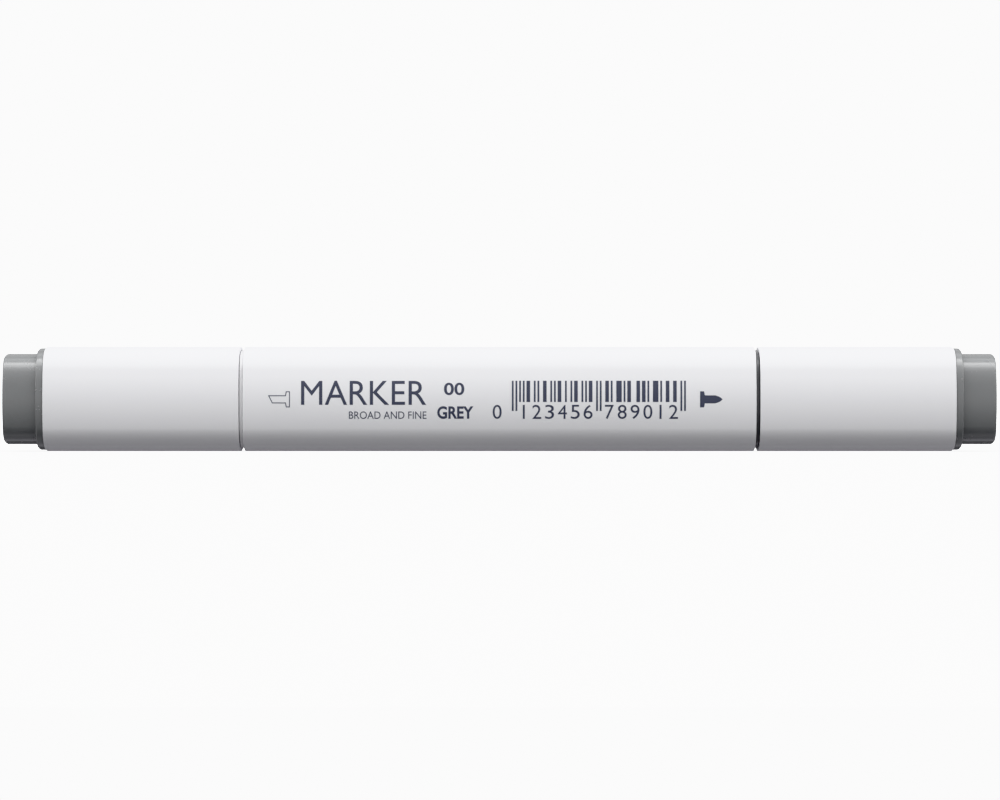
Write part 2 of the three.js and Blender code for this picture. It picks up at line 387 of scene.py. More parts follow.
def make_reservoir():
    core = start_round("fibre_rod", CORE_RADIUS, -CORE_END)
    extrude_to(core, CORE_END)
    step_round(core, FINE_RADIUS + FIT)
    extrude_to(core, NIB_TAIL - FIT)
    for side in (LEFT, RIGHT):
        soften(core, side * CORE_END, CORE_ROUND, 3, radius=CORE_RADIUS)
    close_piece(core)
    pocket = nib_pocket("pocket", -CORE_END - MM, FIT - NIB_TAIL)
    cut(core, pocket)

    film = start_round("film_sleeve", FILM_RADIUS, -FILM_END)
    extrude_to(film, FILM_END)
    for side in (LEFT, RIGHT):
        select_end(film, side * FILM_END)
        step_round(film, FILM_RADIUS - FILM_WALL)
        extrude_to(film, 0)
    join_through(film, 0)
    close_piece(film)
    return core, film


# ---- Noses ----------------------------------------------------------------------------

COLLAR_START = BARREL_END + 0.05 * MM
COLLAR_END = BARREL_END + 0.5 * MM
COLLAR_INSET = 0.5 * MM
BOSS_INSET = 1.1 * MM
BOSS_END = 44.4 * MM
SPIGOT_INSET = 1.4 * MM
BORE_RADIUS = 5.45 * MM
BORE_END = 42 * MM
CHAMBER_RADIUS = 4 * MM
CHAMBER_END = 49 * MM
NECK_RADIUS = 5.2 * MM
NECK_END = 50.5 * MM
BEAD_RISE = 0.15 * MM
BEAD_START = 47.6 * MM
BEAD_LENGTH = 1.4 * MM
CONE_SUPPORT = 0.3 * MM
COLLAR_ROUND = 0.05 * MM
BOSS_ROUND = 0.35 * MM
SPIGOT_ROUND = 0.3 * MM
NECK_ROUND = 0.4 * MM
TIP_ROUND = 0.25 * MM
BROAD_TIP_RADIUS = 4.4 * MM
FINE_TIP_RADIUS = 2.3 * MM
FINE_GUIDE_DEPTH = 3 * MM


def make_nose(name, tip, tip_radius):
    """Spigot, collar, square boss, sealing neck with its bead, and cone, hollow to the chamber."""
    piece = start_square(name, COLLAR_INSET, COLLAR_START)
    extrude_to(piece, COLLAR_END)
    inset(BOSS_INSET - COLLAR_INSET)
    extrude_to(piece, COLLAR_END + SUPPORT, BOSS_END - SUPPORT, BOSS_END)
    round_to(piece, NECK_RADIUS)
    extrude_to(piece, BEAD_START)
    extrude_to(piece, BEAD_START + BEAD_LENGTH / 4)
    resize_round(piece, NECK_RADIUS + BEAD_RISE)
    extrude_to(piece, BEAD_START + 3 * BEAD_LENGTH / 4)
    extrude_to(piece, BEAD_START + BEAD_LENGTH)
    resize_round(piece, NECK_RADIUS)
    extrude_to(piece, NECK_END)
    slope = (tip_radius - NECK_RADIUS) / (tip - NECK_END)
    for station in (NECK_END + CONE_SUPPORT, tip - CONE_SUPPORT, tip):
        extrude_to(piece, station)
        resize_round(piece, NECK_RADIUS + slope * (station - NECK_END))

    select_end(piece, COLLAR_START)
    inset(SPIGOT_INSET - COLLAR_INSET)
    extrude_to(piece, SPIGOT_START + SUPPORT, SPIGOT_START)
    round_to(piece, BORE_RADIUS)
    extrude_to(piece, BORE_END)
    step_round(piece, CHAMBER_RADIUS)
    extrude_to(piece, CHAMBER_END)

    soften(piece, COLLAR_END, COLLAR_ROUND, 3, inset=COLLAR_INSET)
    soften(piece, COLLAR_START, COLLAR_ROUND, 3, inset=COLLAR_INSET)
    soften(piece, BOSS_END, BOSS_ROUND, 5, inset=BOSS_INSET)
    soften(piece, SPIGOT_START, SPIGOT_ROUND, 4, inset=SPIGOT_INSET)
    soften(piece, NECK_END, NECK_ROUND, 4, radius=NECK_RADIUS)
    soften(piece, tip, TIP_ROUND, 4, radius=tip_radius)
    return piece


def make_broad_nose():
    tip = -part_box("broad_nose")[0].x
    piece = make_nose("broad_nose_moulding", tip, BROAD_TIP_RADIUS)
    close_piece(piece)
    socket = nib_pocket("socket", CHAMBER_END - MM, tip + MM)
    cut(piece, socket)
    return turn_half_round(piece)


def make_fine_nose():
    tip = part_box("fine_nose")[1].x
    piece = make_nose("fine_nose_moulding", tip, FINE_TIP_RADIUS)
    for station, depth in ((CHAMBER_END, FINE_GUIDE_DEPTH), (tip, -FINE_GUIDE_DEPTH)):
        select_end(piece, station)
        step_round(piece, FINE_RADIUS + FIT)
        extrude(depth)
    bridge_through(piece, CHAMBER_END + FINE_GUIDE_DEPTH, tip - FINE_GUIDE_DEPTH)
    return close_piece(piece)


# ---- Nibs -----------------------------------------------------------------------------

FELT_SHARP = 50
CHISEL_SLANT = 3.0 * MM
CHISEL_WEDGE = 4.5 * MM
CHISEL_EDGE = 1.5 * MM
CHISEL_ROUND = 0.35 * MM
CHISEL_GRAIN = 0.16 * MM


def felt_surface(piece, strength, size):
    """Makes the surface slightly uneven, as cut and soaked felt is."""
    make_active(piece)
    clouds = bpy.data.textures.new(piece.name + "_fibres", "CLOUDS")
    clouds.noise_scale = size
    clouds.noise_depth = 3
    uneven = piece.modifiers.new("uneven", "DISPLACE")
    uneven.texture = clouds
    uneven.texture_coords = "GLOBAL"
    uneven.strength = strength
    uneven.mid_level = 1
    bpy.ops.object.modifier_apply(modifier=uneven.name)
    bpy.ops.object.shade_smooth_by_angle(angle=math.radians(FELT_SHARP))


def make_chisel_nib():
    """Block with a slanted end, wedged from both sides down to a writing edge."""
    tail, tip = -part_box("chisel_nib")[1].x, -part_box("chisel_nib")[0].x
    deselect()
    bpy.ops.mesh.primitive_cube_add(size=1, location=((tail + tip) / 2, 0, AXIS_Z))
    piece = name_piece("chisel_felt")
    piece.scale = (tip - tail, CHISEL_DEPTH, CHISEL_HEIGHT)
    bpy.ops.object.transform_apply()
    bpy.ops.object.mode_set(mode="EDIT")
    select(piece, "VERT", lambda p: near(p.x, tip) and p.z < AXIS_Z)
    bpy.ops.transform.translate(value=(-CHISEL_SLANT, 0, 0))
    along = Vector((CHISEL_SLANT, 0, CHISEL_HEIGHT)).normalized()
    run = Vector((CHISEL_HEIGHT, 0, -CHISEL_SLANT)).normalized() * CHISEL_WEDGE
    for side in (LEFT, RIGHT):
        lip = Vector((tip, side * CHISEL_EDGE / 2, AXIS_Z + CHISEL_HEIGHT / 2))
        back = Vector((-run.x, side * (CHISEL_DEPTH - CHISEL_EDGE) / 2, -run.z))
        outward = back.cross(along) * -side
        bpy.ops.mesh.select_all(action="SELECT")
        bpy.ops.mesh.bisect(plane_co=lip, plane_no=outward, use_fill=True,
                            clear_outer=outward.y * side > 0, clear_inner=outward.y * side < 0)
    bpy.ops.mesh.select_mode(type="EDGE")
    merge_points()
    bpy.ops.mesh.select_all(action="SELECT")
    bpy.ops.mesh.bevel(offset=CHISEL_ROUND, segments=4)
    close_piece(piece)
    remesh = piece.modifiers.new("even", "REMESH")
    remesh.mode = "VOXEL"
    remesh.voxel_size = CHISEL_GRAIN
    bpy.ops.object.modifier_apply(modifier=remesh.name)
    felt_surface(piece, strength=0.05 * MM, size=0.5 * MM)
    return turn_half_round(piece)


FINE_TAIL_SLOPE = 0.4 * MM
FINE_RING = 0.5 * MM
FINE_SHOULDER = 57.6 * MM
FINE_POINT_RADIUS = 0.3 * MM
FINE_POINT_STEPS = 10
FINE_POINT_CURVE = 2.2
FINE_DOME = ((0.08 * MM, 0.08 * MM), (0.12 * MM, 0.04 * MM))


def make_fine_nib():
    """Rod with a sloped tail, narrowing on a curve to a small domed point."""
    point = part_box("fine_nib")[1].x - sum(lift for _, lift in FINE_DOME)
    piece = start_round("fine_felt", FINE_RADIUS - FINE_TAIL_SLOPE, NIB_TAIL)
    extrude_to(piece, NIB_TAIL + FINE_TAIL_SLOPE)
    resize_round(piece, FINE_RADIUS)
    for ring in range(1, int((FINE_SHOULDER - NIB_TAIL) / FINE_RING)):
        extrude_to(piece, NIB_TAIL + FINE_TAIL_SLOPE + ring * FINE_RING)
    for step in range(FINE_POINT_STEPS + 1):
        share = step / FINE_POINT_STEPS
        extrude_to(piece, FINE_SHOULDER + share * (point - FINE_SHOULDER))
        narrowed = (FINE_RADIUS - FINE_POINT_RADIUS) * share ** FINE_POINT_CURVE
        resize_round(piece, FINE_RADIUS - narrowed)
    for width, lift in FINE_DOME:
        inset_and_lift(width, lift)
    close_piece(piece)
    felt_surface(piece, strength=0.03 * MM, size=0.3 * MM)
    return piece


# ---- Caps -----------------------------------------------------------------------------

MOUTH_INSET = 1.0 * MM
MOUTH_END = 44.6 * MM
CAVITY_INSET = 1.6 * MM
REAR_INSET = 1.1 * MM
REAR_START = 63.3 * MM
MOUTH_ROUND = 0.25 * MM


def make_cap_shell():
    piece = start_square("fine_cap_tube", INK_FILM, SHELL_MOUTH)
    extrude_to(piece, SHELL_MOUTH + SUPPORT, SHELL_END - SUPPORT, SHELL_END)
    select_end(piece, SHELL_MOUTH)
    inset(MOUTH_INSET - INK_FILM)
    extrude_to(piece, SHELL_MOUTH + SUPPORT, MOUTH_END)
    inset(CAVITY_INSET - MOUTH_INSET)
    extrude_to(piece, REAR_START)
    select_end(piece, SHELL_END)
    inset(REAR_INSET - INK_FILM)
    extrude_to(piece, REAR_START)
    inset(CAVITY_INSET - REAR_INSET)
    join_through(piece, REAR_START)
    soften(piece, SHELL_MOUTH, EDGE_ROUND, inset=INK_FILM)
    soften(piece, SHELL_END, EDGE_ROUND, inset=INK_FILM)
    soften(piece, SHELL_MOUTH, MOUTH_ROUND, 3, inset=MOUTH_INSET)
    return close_piece(piece)


LINER_RADIUS = 5.95 * MM
LINER_INNER = 5.45 * MM
LINER_FLANGE_INSET = 1.25 * MM
LINER_FLANGE_START = REAR_START + FIT
LINER_FLANGE_END = 64.4 * MM
LINER_TAPER_START = 62.4 * MM
LINER_TAPER_END = 63.6 * MM
LINER_SMALL_RADIUS = 5.45 * MM
LINER_SMALL_INNER = 4.5 * MM
LINER_FLOOR = 0.8 * MM
LINER_LIP = 0.4 * MM
LINER_LIP_SLOPE = 0.2 * MM
LINER_END_ROUND = 0.3 * MM
LINER_MOUTH_ROUND = 0.08 * MM


def make_cap_liner():
    """Square flange with a small closed end behind it and a round cup in front, hollowed last."""
    piece = start_square("fine_cap_cup", LINER_FLANGE_INSET, LINER_FLANGE_START)
    extrude_to(piece, LINER_FLANGE_END)
    round_to(piece, LINER_SMALL_RADIUS)
    extrude_to(piece, LINER_END - SUPPORT, LINER_END)
    select_end(piece, LINER_FLANGE_START)
    round_to(piece, LINER_RADIUS)
    extrude_to(piece, LINER_MOUTH + LINER_LIP, LINER_MOUTH)
    resize_round(piece, LINER_RADIUS - LINER_LIP_SLOPE)
    step_round(piece, LINER_INNER)
    extrude_to(piece, LINER_TAPER_START, LINER_TAPER_END)
    resize_round(piece, LINER_SMALL_INNER)
    extrude_to(piece, LINER_END - LINER_FLOOR)
    soften(piece, LINER_END, LINER_END_ROUND, 4, radius=LINER_SMALL_RADIUS)
    soften(piece, LINER_MOUTH, LINER_MOUTH_ROUND, 3, radius=LINER_INNER)
    return close_piece(piece)


FLANGE_START = SHELL_END + 0.05 * MM
FLANGE_END = 69.4 * MM
FLANGE_INSET = 0.2 * MM
FLANGE_ROUND = 0.2 * MM
POST_INSET = 1.05 * MM
POST_ROUND = 0.28 * MM
POST_FOOT = 0.12 * MM
DOME_RISE = 0.05 * MM
DOME_WIDTH = 1.6 * MM
SKIRT_INSET = 1.25 * MM
SKIRT_ROUND = 0.25 * MM
FLANGE_UNDER_ROUND = 0.06 * MM
PLUG_BORE_RADIUS = 5.6 * MM
PLUG_BORE_END = 73.2 * MM


def make_cap_plug():
    """Flange, stepped post with a slightly domed end, and a hollow skirt that sits in the shell."""
    shoulder = PLUG_END - DOME_RISE
    piece = start_square("fine_end_plug", FLANGE_INSET, FLANGE_START)
    extrude_to(piece, FLANGE_END)
    inset(POST_INSET - FLANGE_INSET)
    extrude_to(piece, FLANGE_END + POST_FOOT, FLANGE_END + SUPPORT)
    extrude_to(piece, shoulder - POST_ROUND - SUPPORT / 2, shoulder)
    inset_and_lift(DOME_WIDTH, 0.8 * DOME_RISE)
    inset_and_lift(DOME_WIDTH / 2, 0.2 * DOME_RISE)
    select_end(piece, FLANGE_START)
    inset(SKIRT_INSET - FLANGE_INSET)
    extrude_to(piece, SKIRT_START)
    round_to(piece, PLUG_BORE_RADIUS)
    extrude_to(piece, PLUG_BORE_END)
    soften(piece, FLANGE_END, FLANGE_ROUND, 6, inset=FLANGE_INSET)
    soften(piece, FLANGE_END, POST_FOOT / 2, 2, inset=POST_INSET)
    soften(piece, FLANGE_START, FLANGE_UNDER_ROUND, 2, inset=FLANGE_INSET)
    soften(piece, shoulder, POST_ROUND, 6, inset=POST_INSET)
    soften(piece, SKIRT_START, SKIRT_ROUND, 3, inset=SKIRT_INSET)
    return close_piece(piece)


# ---- Print ----------------------------------------------------------------------------

# Marks are cut across at this spacing, over this height, so that they bend with the face
PRINT_LEADING = 0.25 * MM
PRINT_HEIGHT = 7 * MM
PRINT_SHARP = 30
LETTER_CURVE_STEPS = 5


def lay_on_barrel(piece):
    """Wraps a flat mark over the barrel's front face and gives it the ink's thickness."""
    make_active(piece)
    bpy.ops.object.mode_set(mode="EDIT")
    lines = int(PRINT_HEIGHT / PRINT_LEADING)
    for line in range(-lines // 2, lines // 2 + 1):
        bpy.ops.mesh.select_all(action="SELECT")
        bpy.ops.mesh.bisect(plane_co=(0, 0, AXIS_Z + line * PRINT_LEADING), plane_no=(0, 0, 1))
    merge_points(MERGE / 5)
    bpy.ops.transform.translate(value=(0, -2 * HALF_WIDTH, 0))
    bpy.ops.mesh.normals_make_consistent(inside=False)
    bpy.ops.object.mode_set(mode="OBJECT")
    if sum(face.normal.y * face.area for face in piece.data.polygons) > 0:
        bpy.ops.object.mode_set(mode="EDIT")
        bpy.ops.mesh.flip_normals()
        bpy.ops.object.mode_set(mode="OBJECT")
    wrap = piece.modifiers.new("wrap", "SHRINKWRAP")
    wrap.target = bpy.data.objects["barrel_tube"]
    wrap.wrap_method = "PROJECT"
    wrap.use_project_y = True
    wrap.use_positive_direction = True
    wrap.use_negative_direction = False
    bpy.ops.object.modifier_apply(modifier=wrap.name)
    thick = piece.modifiers.new("ink", "SOLIDIFY")
    thick.thickness = INK_FILM
    thick.offset = 1
    bpy.ops.object.modifier_apply(modifier=thick.name)
    bpy.ops.object.shade_smooth_by_angle(angle=math.radians(PRINT_SHARP))
    return piece


def flat_words(name, words, left, bottom, width, height, weight):
    """Sets plain lettering in a box in the print's plane, measured from the barrel's middle."""
    deselect()
    bpy.ops.object.text_add()
    text = bpy.context.object
    text.data.body = words
    text.data.offset = weight
    text.data.resolution_u = LETTER_CURVE_STEPS
    bpy.ops.object.convert(target="MESH")
    piece = name_piece(name)
    across = [v.co.x for v in piece.data.vertices]
    up = [v.co.y for v in piece.data.vertices]
    stretch = width / (max(across) - min(across))
    rise = height / (max(up) - min(up))
    piece.scale = (stretch, rise, 1)
    piece.rotation_euler = (math.pi / 2, 0, 0)
    piece.location = (left - min(across) * stretch, 0, AXIS_Z + bottom - min(up) * rise)
    bpy.ops.object.transform_apply()
    return piece


def start_marks(name):
    """New flat piece in the print's plane, empty and open in edit mode."""
    deselect()
    bpy.ops.mesh.primitive_plane_add(size=MM)
    piece = name_piece(name)
    bpy.ops.object.mode_set(mode="EDIT")
    bpy.ops.mesh.select_all(action="SELECT")
    bpy.ops.mesh.delete(type="VERT")
    return piece


def add_bar(left, bottom, width, height):
    """Adds one upright bar to the open piece."""
    bpy.ops.mesh.primitive_plane_add(size=1, rotation=(math.pi / 2, 0, 0))
    bpy.ops.transform.resize(value=(width, 1, height), center_override=(0, 0, 0))
    bpy.ops.transform.translate(value=(left + width / 2, 0, AXIS_Z + bottom + height / 2))


BAR_MODULE = 0.2737 * MM
BARS_LEFT = 1.84 * MM
BARS_TOP = 2.73 * MM
BARS_BOTTOM = -0.45 * MM
GUARD_BOTTOM = -1.78 * MM
GUARD_MODULES = (0, 2, 46, 48, 92, 94)
BAR_HALVES = ((4, 45), (51, 91))


def bar_modules(count, first):
    return 1 + (count * count + first) % 4 // 2 + count % 3 // 2


def gap_modules(count, first):
    return 1 + (count * 5 + first) % 3 // 2 + count % 5 // 4


def print_bars():
    """Upright bars in the rhythm of a shop barcode. Their widths follow a sum and say nothing."""
    piece = start_marks("print_bars")
    bar_height = BARS_TOP - BARS_BOTTOM
    for module in GUARD_MODULES:
        add_bar(BARS_LEFT + module * BAR_MODULE, GUARD_BOTTOM, BAR_MODULE, BARS_TOP - GUARD_BOTTOM)
    for first, last in BAR_HALVES:
        module, count = first, 0
        while module < last:
            width = min(bar_modules(count, first), last - module)
            left = BARS_LEFT + module * BAR_MODULE
            add_bar(left, BARS_BOTTOM, width * BAR_MODULE, bar_height)
            module += width + gap_modules(count, first)
            count += 1
    bpy.ops.object.mode_set(mode="OBJECT")
    return lay_on_barrel(piece)


LINE_BOTTOM = -2.97 * MM
DIGIT_CELL = 7 * BAR_MODULE
DIGIT_GROUPS = ((-1.02 * MM, "0"), (2.98 * MM, "123456"), (15.74 * MM, "789012"))
DIGIT_WIDTH = 1.34 * MM
DIGIT_HEIGHT = 2.1 * MM
ONE_WIDTH = 0.3 * MM
ONE_SHIFT = 0.5 * MM


def print_digits():
    """Counting digits, one to a cell, under the bars. A one is narrow and sits mid-cell."""
    digits = []
    for start, group in DIGIT_GROUPS:
        for cell, digit in enumerate(group):
            left = start + cell * DIGIT_CELL + (ONE_SHIFT if digit == "1" else 0)
            width = ONE_WIDTH if digit == "1" else DIGIT_WIDTH
            piece = flat_words("print_digit", digit, left, LINE_BOTTOM, width, DIGIT_HEIGHT, weight=0)
            digits.append(piece)
    deselect()
    for digit in digits:
        digit.select_set(True)
    bpy.context.view_layer.objects.active = digits[0]
    bpy.ops.object.join()
    return lay_on_barrel(name_piece("print_digits"))


ICON_BOSS = 0.6 * MM
ICON_STEP = 0.12 * MM
ICON_BODY = 1.5 * MM
ICON_FELT = 1.05 * MM
ICON_HEIGHT = 2.4 * MM
ICON_BODY_SHARE = 0.5
ICON_SLANT = 0.6 * MM
ICON_POINT = ((0.3 * MM, 0.88), (0.3 * MM, 0.78), (0.3 * MM, 0.6), (0.22 * MM, 0.1))
ICON_LINE = 0.13 * MM
ICON_DROP = 0.05 * MM
FINE_ICON_LEFT = 29.95 * MM
BROAD_ICON_RIGHT = -31.3 * MM


def extend_icon(length, squeeze=1):
    """Pulls the icon's last edge along and narrows it."""
    bpy.ops.mesh.extrude_edges_move(TRANSFORM_OT_translate={"value": (length, 0, 0)})
    bpy.ops.transform.resize(value=(1, 1, squeeze), center_override=(0, 0, AXIS_Z))


def draw_nib_icon(piece, slanted):
    """Side view of a nose and its nib: boss, step, body and felt, pointing along +X."""
    add_bar(0, -ICON_HEIGHT / 2, ICON_BOSS, ICON_HEIGHT)
    select(piece, "EDGE", lambda p: near(p.x, ICON_BOSS))
    extend_icon(ICON_STEP, ICON_BODY_SHARE)
    extend_icon(ICON_BODY)
    if slanted:
        extend_icon(ICON_FELT)
        tip = ICON_BOSS + ICON_STEP + ICON_BODY + ICON_FELT
        select(piece, "VERT", lambda p: near(p.x, tip) and p.z < AXIS_Z)
        bpy.ops.transform.translate(value=(-ICON_SLANT, 0, 0))
    else:
        for length, squeeze in ICON_POINT:
            extend_icon(length, squeeze)


def print_fine_icon():
    piece = start_marks("print_fine_nib")
    draw_nib_icon(piece, slanted=False)
    bpy.ops.mesh.select_all(action="SELECT")
    bpy.ops.transform.translate(value=(FINE_ICON_LEFT, 0, -ICON_DROP))
    bpy.ops.object.mode_set(mode="OBJECT")
    return lay_on_barrel(piece)


def print_broad_icon():
    """The broad nib is drawn in outline: its shape is inset by the line's width and opened."""
    piece = start_marks("print_broad_nib")
    draw_nib_icon(piece, slanted=True)
    bpy.ops.mesh.select_all(action="SELECT")
    bpy.ops.mesh.dissolve_limited(angle_limit=math.radians(1))
    bpy.ops.mesh.select_all(action="SELECT")
    inset(ICON_LINE)
    bpy.ops.mesh.delete(type="FACE")
    bpy.ops.mesh.select_all(action="SELECT")
    bpy.ops.transform.mirror(constraint_axis=(True, False, False), center_override=(0, 0, AXIS_Z))
    bpy.ops.transform.translate(value=(BROAD_ICON_RIGHT, 0, -ICON_DROP))
    bpy.ops.object.mode_set(mode="OBJECT")
    return lay_on_barrel(piece)


# Each line of words: left, bottom, width and height of its box
NAME_BOX = (-29.64 * MM, -0.87 * MM, 18.7 * MM, 3.6 * MM)
TIPS_BOX = (-22.5 * MM, LINE_BOTTOM, 11.6 * MM, 1.12 * MM)
TONE_NUMBER_BOX = (-8.3 * MM, 0.57 * MM, 3.05 * MM, 1.87 * MM)
TONE_BOX = (-9.3 * MM, LINE_BOTTOM, 5.4 * MM, 1.9 * MM)


def print_words(name, words, box, weight):
    return lay_on_barrel(flat_words(name, words, *box, weight))


def make_print():
    """All the marks. The built-in M, B and 4 break when they are made heavier."""
    return [
        print_broad_icon(),
        print_words("print_name", "MARKER", NAME_BOX, weight=0),
        print_words("print_tips", "BROAD AND FINE", TIPS_BOX, weight=0),
        print_words("print_tone_number", "00", TONE_NUMBER_BOX, weight=0.02),
        print_words("print_tone", "GREY", TONE_BOX, weight=0.03),
        print_bars(),
        print_digits(),
        print_fine_icon(),
    ]


# ---- Materials ------------------------------------------------------------------------

# Blender's noise stays mostly between these
NOISE_LOW = 0.3
NOISE_HIGH = 0.7

# Patterns' scales, and the height of their relief in metres
GLOSS_SCALE = 450
WASH_SCALE = 900
FIBRE_STRETCH = 0.06
GRAIN_HEIGHT = 0.02 * MM
STRAND_HEIGHT = 0.06 * MM


def new_group(name, inputs, outputs):
    """Shared shader group with named inputs, (name, kind, default), and outputs, (name, kind)."""
    group = bpy.data.node_groups.new(name, "ShaderNodeTree")
    for socket, kind, value in inputs:
        made = group.interface.new_socket(name=socket, in_out="INPUT", socket_type="NodeSocket" + kind)
        made.default_value = value
    for socket, kind in outputs:
        group.interface.new_socket(name=socket, in_out="OUTPUT", socket_type="NodeSocket" + kind)
    return group, group.nodes.new("NodeGroupInput"), group.nodes.new("NodeGroupOutput")


def add_noise(tree, place, scale, detail, roughness=0.55):
    noise = tree.nodes.new("ShaderNodeTexNoise")
    noise.inputs["Detail"].default_value = detail
    noise.inputs["Roughness"].default_value = roughness
    tree.links.new(place, noise.inputs["Vector"])
    if isinstance(scale, (int, float)):
        noise.inputs["Scale"].default_value = scale
    else:
        tree.links.new(scale, noise.inputs["Scale"])
    return noise.outputs["Fac"]


def add_bump(tree, height, strength, distance):
    bump = tree.nodes.new("ShaderNodeBump")
    bump.inputs["Distance"].default_value = distance
    tree.links.new(height, bump.inputs["Height"])
    tree.links.new(strength, bump.inputs["Strength"])
    return bump.outputs["Normal"]


def spread_noise(tree, noise, low=None, high=None):
    """Spreads noise between 0 and 1, or between two other values."""
    spread = tree.nodes.new("ShaderNodeMapRange")
    spread.inputs["From Min"].default_value = NOISE_LOW
    spread.inputs["From Max"].default_value = NOISE_HIGH
    tree.links.new(noise, spread.inputs["Value"])
    if low and high:
        tree.links.new(low, spread.inputs["To Min"])
        tree.links.new(high, spread.inputs["To Max"])
    return spread.outputs["Result"]


def blend_colours(tree, share, first, second):
    blend = tree.nodes.new("ShaderNodeMix")
    blend.data_type = "RGBA"
    tree.links.new(share, blend.inputs["Factor"])
    tree.links.new(first, blend.inputs["A"])
    tree.links.new(second, blend.inputs["B"])
    return blend.outputs["Result"]


def make_moulded_group():
    """Moulded plastic: two near tones in slow patches, uneven gloss, and a fine grain."""
    group, given, result = new_group(
        "moulded_surface",
        [("Tone", "Color", (0.8, 0.8, 0.8, 1)), ("Second Tone", "Color", (0.78, 0.78, 0.78, 1)),
         ("Smoothest", "Float", 0.3), ("Roughest", "Float", 0.4), ("Patch Scale", "Float", 60.0),
         ("Grain Scale", "Float", 6000.0), ("Grain", "Float", 0.1)],
        [("Color", "Color"), ("Roughness", "Float"), ("Normal", "Vector")])
    place = group.nodes.new("ShaderNodeTexCoord").outputs["Object"]
    patches = add_noise(group, place, given.outputs["Patch Scale"], 3)
    colour = blend_colours(group, patches, given.outputs["Tone"], given.outputs["Second Tone"])
    gloss = add_noise(group, place, GLOSS_SCALE, 4)
    roughness = spread_noise(group, gloss, given.outputs["Smoothest"], given.outputs["Roughest"])
    grain = add_noise(group, place, given.outputs["Grain Scale"], 2)
    normal = add_bump(group, grain, given.outputs["Grain"], GRAIN_HEIGHT)
    group.links.new(colour, result.inputs["Color"])
    group.links.new(roughness, result.inputs["Roughness"])
    group.links.new(normal, result.inputs["Normal"])
    return group


def make_fibre_group():
    """Fibres that run along the marker: streaks of two tones, and a relief of strands."""
    group, given, result = new_group(
        "fibre_strands",
        [("Tone", "Color", (0.5, 0.5, 0.5, 1)), ("Second Tone", "Color", (0.3, 0.3, 0.3, 1)),
         ("Strand Scale", "Float", 4000.0), ("Relief", "Float", 0.5)],
        [("Color", "Color"), ("Normal", "Vector")])
    place = group.nodes.new("ShaderNodeTexCoord").outputs["Object"]
    stretch = group.nodes.new("ShaderNodeMapping")
    stretch.inputs["Scale"].default_value = (FIBRE_STRETCH, 1, 1)
    group.links.new(place, stretch.inputs["Vector"])
    strands = add_noise(group, stretch.outputs["Vector"], given.outputs["Strand Scale"], 4, 0.7)
    share = spread_noise(group, strands)
    colour = blend_colours(group, share, given.outputs["Tone"], given.outputs["Second Tone"])
    normal = add_bump(group, strands, given.outputs["Relief"], STRAND_HEIGHT)
    group.links.new(colour, result.inputs["Color"])
    group.links.new(normal, result.inputs["Normal"])
    return group


def make_wash_group():
    """Ink along the marker: a second colour comes in over a distance, with a ragged edge."""
    group, given, result = new_group(
        "ink_wash",
        [("Dry", "Color", (0.8, 0.8, 0.8, 1)), ("Wet", "Color", (0.3, 0.3, 0.3, 1)),
         ("Start", "Float", 0.05), ("Full", "Float", 0.06), ("Ragged", "Float", 0.002)],
        [("Color", "Color")])
    place = group.nodes.new("ShaderNodeTexCoord").outputs["Object"]
    split = group.nodes.new("ShaderNodeSeparateXYZ")
    length = group.nodes.new("ShaderNodeMath")
    length.operation = "ABSOLUTE"
    ragged = group.nodes.new("ShaderNodeMath")
    ragged.operation = "MULTIPLY_ADD"
    spread = group.nodes.new("ShaderNodeMapRange")
    group.links.new(place, split.inputs["Vector"])
    group.links.new(split.outputs["X"], length.inputs[0])
    group.links.new(add_noise(group, place, WASH_SCALE, 4), ragged.inputs[0])
    group.links.new(given.outputs["Ragged"], ragged.inputs[1])
    group.links.new(length.outputs["Value"], ragged.inputs[2])
    group.links.new(ragged.outputs["Value"], spread.inputs["Value"])
    group.links.new(given.outputs["Start"], spread.inputs["From Min"])
    group.links.new(given.outputs["Full"], spread.inputs["From Max"])
    colour = blend_colours(group, spread.outputs["Result"], given.outputs["Dry"], given.outputs["Wet"])
    group.links.new(colour, result.inputs["Color"])
    return group


def new_material(name, **settings):
    """Material with a Principled shader, its constants set on its own sockets."""
    material = bpy.data.materials.new(name)
    material.use_nodes = True
    shader = material.node_tree.nodes["Principled BSDF"]
    for socket, value in settings.items():
        shader.inputs[socket.replace("_", " ")].default_value = value
    return material, material.node_tree, shader


def add_group(tree, group, **settings):
    node = tree.nodes.new("ShaderNodeGroup")
    node.node_tree = group
    for socket, value in settings.items():
        node.inputs[socket.replace("_", " ")].default_value = value
    return node


def plastic(name, tone, second_tone, gloss, patch_scale, grain_scale, grain, **settings):
    material, tree, shader = new_material(name, **settings)
    surface = add_group(tree, moulded, Tone=(*tone, 1), Second_Tone=(*second_tone, 1), Smoothest=gloss[0],
                        Roughest=gloss[1], Patch_Scale=patch_scale, Grain_Scale=grain_scale, Grain=grain)
    tree.links.new(surface.outputs["Color"], shader.inputs["Base Color"])
    tree.links.new(surface.outputs["Roughness"], shader.inputs["Roughness"])
    tree.links.new(surface.outputs["Normal"], shader.inputs["Normal"])
    return material


